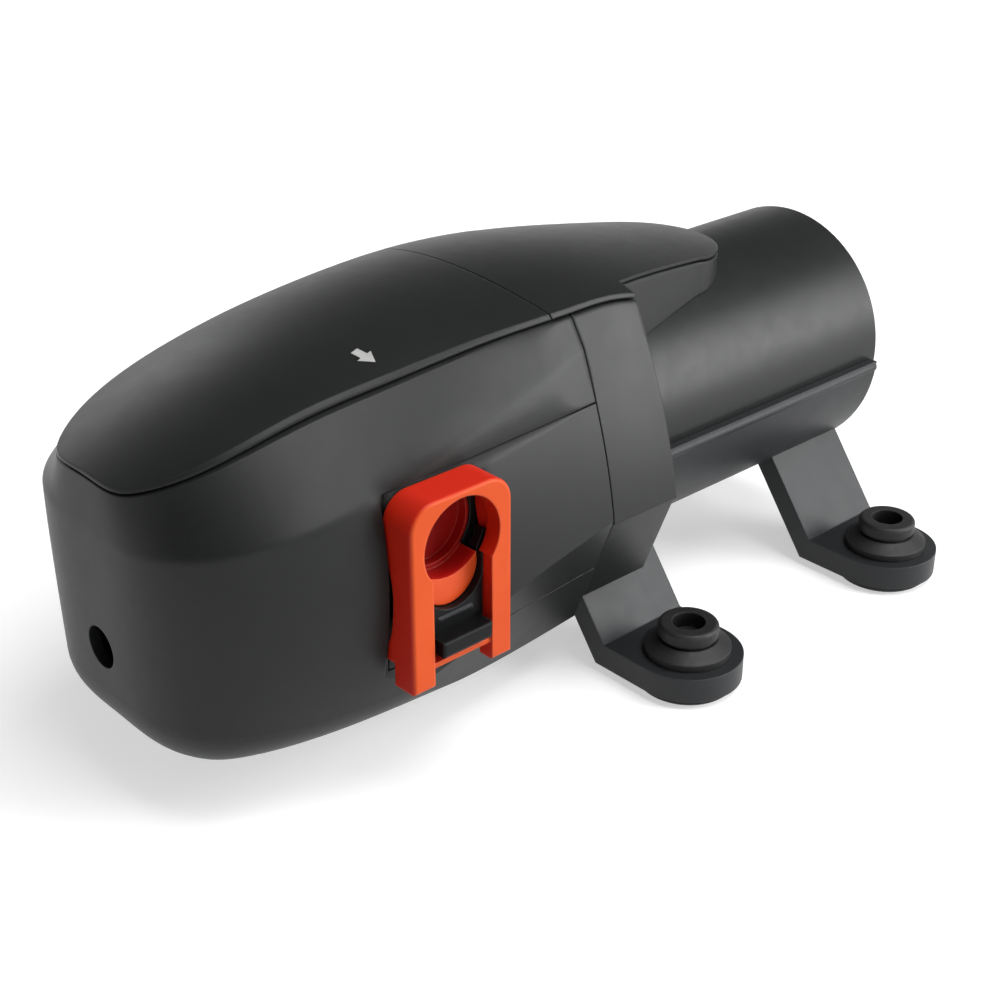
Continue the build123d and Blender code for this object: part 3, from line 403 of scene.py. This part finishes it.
def flow_arrow():
    """A flat arrow laid on the lid's crown, pointing to the right side."""
    lid = surface_of("front_lid")
    tail_x, tail_y = ARROW_PLACE
    neck = ARROW_LENGTH - ARROW_HEAD
    outline = [(0, -ARROW_HALF_SHAFT), (neck, -ARROW_HALF_SHAFT), (neck, -ARROW_HALF_HEAD),
               (ARROW_LENGTH, 0), (neck, ARROW_HALF_HEAD), (neck, ARROW_HALF_SHAFT), (0, ARROW_HALF_SHAFT)]
    shape = bmesh.new()
    corners = [shape.verts.new((tail_x + x * cos(ARROW_TURN) - y * sin(ARROW_TURN),
                                tail_y + x * sin(ARROW_TURN) + y * cos(ARROW_TURN), 0))
               for x, y in outline]
    shape.faces.new(corners)
    for cut in range(1, ARROW_CUTS):
        place = (tail_x + ARROW_LENGTH * cut / ARROW_CUTS, 0, 0)
        bmesh.ops.bisect_plane(shape, geom=shape.verts[:] + shape.edges[:] + shape.faces[:],
                               plane_co=place, plane_no=(1, 0, 0))
    for vertex in shape.verts:
        hit = lid.ray_cast(Vector((vertex.co.x, vertex.co.y, ABOVE_LID)), Vector((0, 0, -1)))
        vertex.co.z = hit[0].z + ARROW_LIFT
    bmesh.ops.triangulate(shape, faces=shape.faces[:])
    ink = material("print_grey", linear(150, 150, 148), linear(172, 172, 170), 0.5, patches=400.0,
                   grain=3000.0)
    show("flow_arrow", shape, "pump", ink)


def prism(shape, outline, rear, front):
    """A closed prism of an outline round the port, with its front edges softened."""
    low = [shape.verts.new((rear, PORT_Y + y, z)) for y, z in outline]
    high = [shape.verts.new((front, PORT_Y + y, z)) for y, z in outline]
    shape.faces.new(low[::-1])
    face = shape.faces.new(high)
    for index in range(len(outline)):
        after = (index + 1) % len(outline)
        shape.faces.new((low[index], low[after], high[after], high[index]))
    bmesh.ops.bevel(shape, geom=list(face.edges), offset=LATCH_SOFT_EDGE, segments=LATCH_EDGE_STEPS,
                    affect="EDGES", clamp_overlap=True)


def rectangle(near, far, low, high):
    """The corners of a rectangle, in order."""
    return [(near, low), (far, low), (far, high), (near, high)]


def latch_front(side, body):
    """The part of a latch that stands between the clip's legs and holds the plug's neck."""
    shape = bmesh.new()
    sweep = asin(LATCH_HALF_WIDTH / LATCH_ARC)
    turns = [sweep * (1 - 2 * step / LATCH_ARC_CELLS) for step in range(LATCH_ARC_CELLS + 1)]
    outline = [(-LATCH_HALF_WIDTH, LATCH_LOW), (LATCH_HALF_WIDTH, LATCH_LOW)]
    outline += [(LATCH_ARC * sin(turn), PORT_Z - LATCH_ARC * cos(turn)) for turn in turns]
    prism(shape, outline, LATCH_REAR, LATCH_FRONT)
    for end in (-1, 1):
        inner, outer = sorted((end * HORN_INNER, end * HORN_OUTER))
        prism(shape, rectangle(inner, outer, HORN_LOW, HORN_HIGH), HORN_REAR, HORN_FRONT)
    rib = rectangle(-RIB_HALF_WIDTH, RIB_HALF_WIDTH, RIB_Z - RIB_HALF_HEIGHT, RIB_Z + RIB_HALF_HEIGHT)
    prism(shape, rib, LATCH_FRONT - RIB_STANDS, LATCH_FRONT + RIB_STANDS)
    for vertex in shape.verts:
        vertex.co.x *= side
    bmesh.ops.recalc_face_normals(shape, faces=shape.faces[:])
    show(body + "_front", shape, body, MATERIALS["latch"])


def floor():
    """A wide pale floor that keeps the object's shadow."""
    data = bpy.data.meshes.new("floor")
    corners = [(x * FLOOR_REACH, y * FLOOR_REACH, 0) for x, y in ((-1, -1), (1, -1), (1, 1), (-1, 1))]
    data.from_pydata(corners, [], [(0, 1, 2, 3)])
    made = bpy.data.objects.new("floor", data)
    scene.collection.objects.link(made)
    paint = bpy.data.materials.new("floor_paint")
    paint.use_nodes = True
    tree = paint.node_tree
    shader = tree.nodes["Principled BSDF"]
    place = add(tree, "ShaderNodeTexCoord").outputs["Object"]
    tone = remap(tree, noise(tree, place, FLOOR_PATCHES, *FLOOR_NOISE), *PATCH_RANGE,
                 FLOOR_WHITE - FLOOR_WHITE_SPREAD, FLOOR_WHITE + FLOOR_WHITE_SPREAD)
    tree.links.new(tone, shader.inputs["Base Color"])
    shader.inputs["Roughness"].default_value = FLOOR_ROUGHNESS
    shader.inputs["Specular IOR Level"].default_value = FLOOR_SPECULAR
    shader.inputs["Emission Color"].default_value = (1, 1, 1, 1)
    seen = seen_directly(tree)
    away = add(tree, "ShaderNodeVectorMath", {0: place}, operation="LENGTH").outputs["Value"]
    glow = remap(tree, away, FLOOR_NEAR, FLOOR_FAR, FLOOR_NEAR_GLOW, FLOOR_FAR_GLOW)
    tree.links.new(calculate(tree, "MULTIPLY", seen, glow), shader.inputs["Emission Strength"])
    data.materials.append(paint)


def sky():
    """A white backdrop low down for what the camera and reflections see, and a soft level for light."""
    world = bpy.data.worlds.new("studio")
    scene.world = world
    world.use_nodes = True
    tree = world.node_tree
    background = tree.nodes["Background"]
    background.inputs["Color"].default_value = (1, 1, 1, 1)
    seen = seen_directly(tree)
    height = axis_of(tree, add(tree, "ShaderNodeTexCoord").outputs["Generated"], "Z")
    backdrop = remap(tree, height, BACKDROP_FULL, BACKDROP_END, 1.0, 0.0)
    seen = calculate(tree, "MULTIPLY", seen, backdrop)
    tree.links.new(remap(tree, seen, 0.0, 1.0, SKY_LEVEL, 1.0), background.inputs["Strength"])


def place_facing(made, place, direction):
    """An object put at its place, looking along a direction."""
    scene.collection.objects.link(made)
    made.location = place
    made.rotation_mode = "QUATERNION"
    made.rotation_quaternion = Vector(direction).to_track_quat("-Z", "Y")


def softbox(name, place, width, height, watts):
    """A soft lamp that faces the object."""
    lamp = bpy.data.lights.new(name, "AREA")
    lamp.shape = "RECTANGLE"
    lamp.size = width
    lamp.size_y = height
    lamp.energy = watts
    place_facing(bpy.data.objects.new(name, lamp), place, Vector(LIGHT_TARGET) - Vector(place))


def camera():
    """The camera at the photograph's view."""
    data = bpy.data.cameras.new("camera")
    data.lens = CAMERA_LENS
    data.sensor_width = SENSOR_WIDTH
    data.clip_start = CLIP_START
    data.clip_end = CLIP_END
    made = bpy.data.objects.new("camera", data)
    place_facing(made, CAMERA_PLACE, CAMERA_TOWARD)
    scene.camera = made


flow_arrow()
latch_front(1, "latch_right")
latch_front(-1, "latch_left")
floor()
sky()
for box in SOFTBOXES:
    softbox(*box)
camera()
scene.view_settings.view_transform = "Standard"
